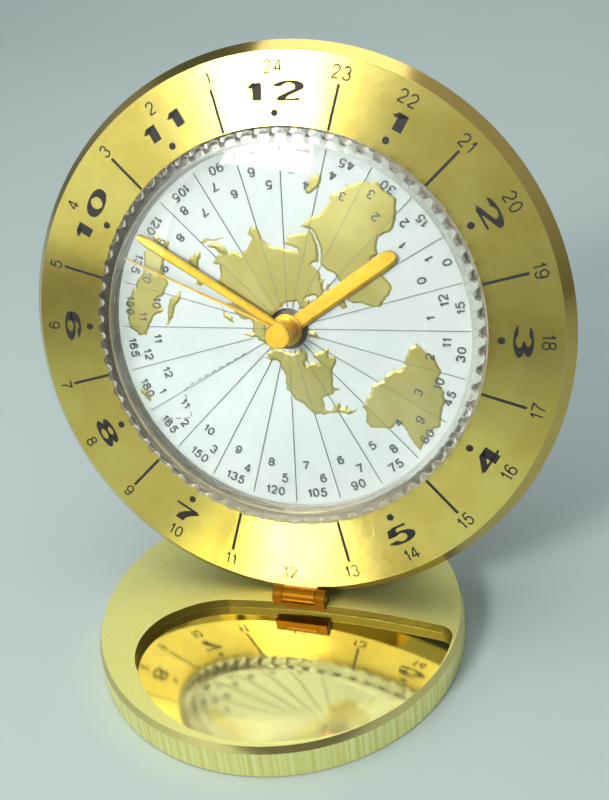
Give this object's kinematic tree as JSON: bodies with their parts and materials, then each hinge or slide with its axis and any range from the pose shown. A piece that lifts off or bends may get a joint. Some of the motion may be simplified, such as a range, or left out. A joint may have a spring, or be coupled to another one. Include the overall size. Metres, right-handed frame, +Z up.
{
  "type": "world time clock",
  "caption": "Small brass desk clock with a round tilting head on a round stand, and a clear drum that turns a world map inside a dial with 12 and 24 hour numbers.",
  "frame": {"origin": "middle of the stand's underside, on the surface that it stands on", "axes": "+Z up, +X to the right of someone who reads the dial, +Y to the back"},
  "size_m": [0.09, 0.0707, 0.0935],
  "materials": {
    "bezel_gold": "satin gold plate",
    "stand_brass": "satin pale brass with polished edge",
    "hinge_gold": "polished deep gold",
    "hand_gold": "polished gold",
    "clear_drum": "polished clear",
    "disc_white": "silver white print",
    "land_gold": "satin gold with raised edges",
    "case_black": "fine moulded",
    "pad_felt": "felt",
    "bright_steel": "bright",
    "copper_wire": "lacquered copper",
    "wheel_plastic": "natural moulded",
    "movement_plastic": "grey moulded",
    "board_green": "lacquered",
    "battery_jacket": "plain printed jacket",
    "magnet_dark": "sintered"
  },
  "bodies": {
    "stand": {"stand_disc": "stand_brass", "stand_pad": "pad_felt", "hinge_fork": "hinge_gold", "fork_screws": "bright_steel", "hinge_pin": "bright_steel"},
    "head": {"bezel": "bezel_gold", "movement_plate": "movement_plastic", "plate_screws": "bright_steel", "movement_cover": "movement_plastic", "drag_spring": "bright_steel", "stator": "bright_steel", "coil_core": "bright_steel", "coil_bobbin": "wheel_plastic", "coil_winding": "copper_wire", "circuit_board": "board_green", "board_chip": "case_black", "timing_can": "bright_steel", "battery": "battery_jacket", "contact_plus": "bright_steel", "contact_minus": "bright_steel", "case_back": "case_black", "case_screws": "bright_steel"},
    "world_disc": {"crystal": "clear_drum", "map_disc": "disc_white", "map_land": "land_gold"},
    "hour": {"hour_wheel": "wheel_plastic", "hour_hand": "hand_gold"},
    "minute": {"cannon_pinion": "wheel_plastic", "minute_hand": "hand_gold"},
    "setting": {"work_wheel": "wheel_plastic", "setting_knob": "case_black"},
    "centre": {"centre_wheel": "wheel_plastic"},
    "third": {"third_wheel": "wheel_plastic"},
    "second": {"second_wheel": "wheel_plastic", "second_hand": "hand_gold"},
    "step": {"step_wheel": "wheel_plastic"},
    "rotor": {"rotor": "magnet_dark"},
    "door": {"battery_door": "case_black"}
  },
  "joints": [
    {"name": "head_tilt", "type": "hinge", "parent": "stand", "child": "head", "pos_m": [0.0036, 0.00084, 0.00728], "axis": [1, 0, 0], "range_deg": [-5, 102]},
    {"name": "world_disc_turn", "type": "hinge", "parent": "head", "child": "world_disc", "pos_m": [0.0018, 0.01286, 0.0504], "axis": [0, 0.9676, -0.2526], "continuous": true},
    {"name": "minute_turn", "type": "hinge", "parent": "head", "child": "minute", "pos_m": [0.0018, 0.01286, 0.0504], "axis": [0, 0.9676, -0.2526], "continuous": true},
    {"name": "hour_turn", "type": "hinge", "parent": "head", "child": "hour", "pos_m": [0.0018, 0.01286, 0.0504], "axis": [0, 0.9676, -0.2526], "continuous": true},
    {"name": "setting_turn", "type": "hinge", "parent": "head", "child": "setting", "pos_m": [0.0018, 0.01135, 0.0446], "axis": [0, 0.9676, -0.2526], "continuous": true},
    {"name": "rotor_turn", "type": "hinge", "parent": "head", "child": "rotor", "pos_m": [0.01159, 0.01362, 0.0533], "axis": [0, 0.9676, -0.2526], "continuous": true},
    {"name": "step_turn", "type": "hinge", "parent": "head", "child": "step", "pos_m": [0.007, 0.01362, 0.0533], "axis": [0, 0.9676, -0.2526], "continuous": true},
    {"name": "second_turn", "type": "hinge", "parent": "head", "child": "second", "pos_m": [0.0018, 0.01286, 0.0504], "axis": [0, 0.9676, -0.2526], "continuous": true},
    {"name": "third_turn", "type": "hinge", "parent": "head", "child": "third", "pos_m": [-0.00319, 0.01359, 0.05319], "axis": [0, 0.9676, -0.2526], "continuous": true},
    {"name": "centre_turn", "type": "hinge", "parent": "head", "child": "centre", "pos_m": [0.0018, 0.01286, 0.0504], "axis": [0, 0.9676, -0.2526], "continuous": true},
    {"name": "door_swing", "type": "hinge", "parent": "head", "child": "door", "pos_m": [0.0018, 0.0235, 0.02008], "axis": [-1, 0, 0], "range_deg": [0, 90]}
  ],
  "couplings": [
    {"joint": "hour_turn", "follows": "minute_turn", "ratio": 0.083333},
    {"joint": "setting_turn", "follows": "minute_turn", "ratio": -0.33333},
    {"joint": "step_turn", "follows": "rotor_turn", "ratio": -0.13333},
    {"joint": "second_turn", "follows": "rotor_turn", "ratio": 0.033333},
    {"joint": "third_turn", "follows": "rotor_turn", "ratio": -0.0044444},
    {"joint": "centre_turn", "follows": "rotor_turn", "ratio": 0.00055556}
  ]
}
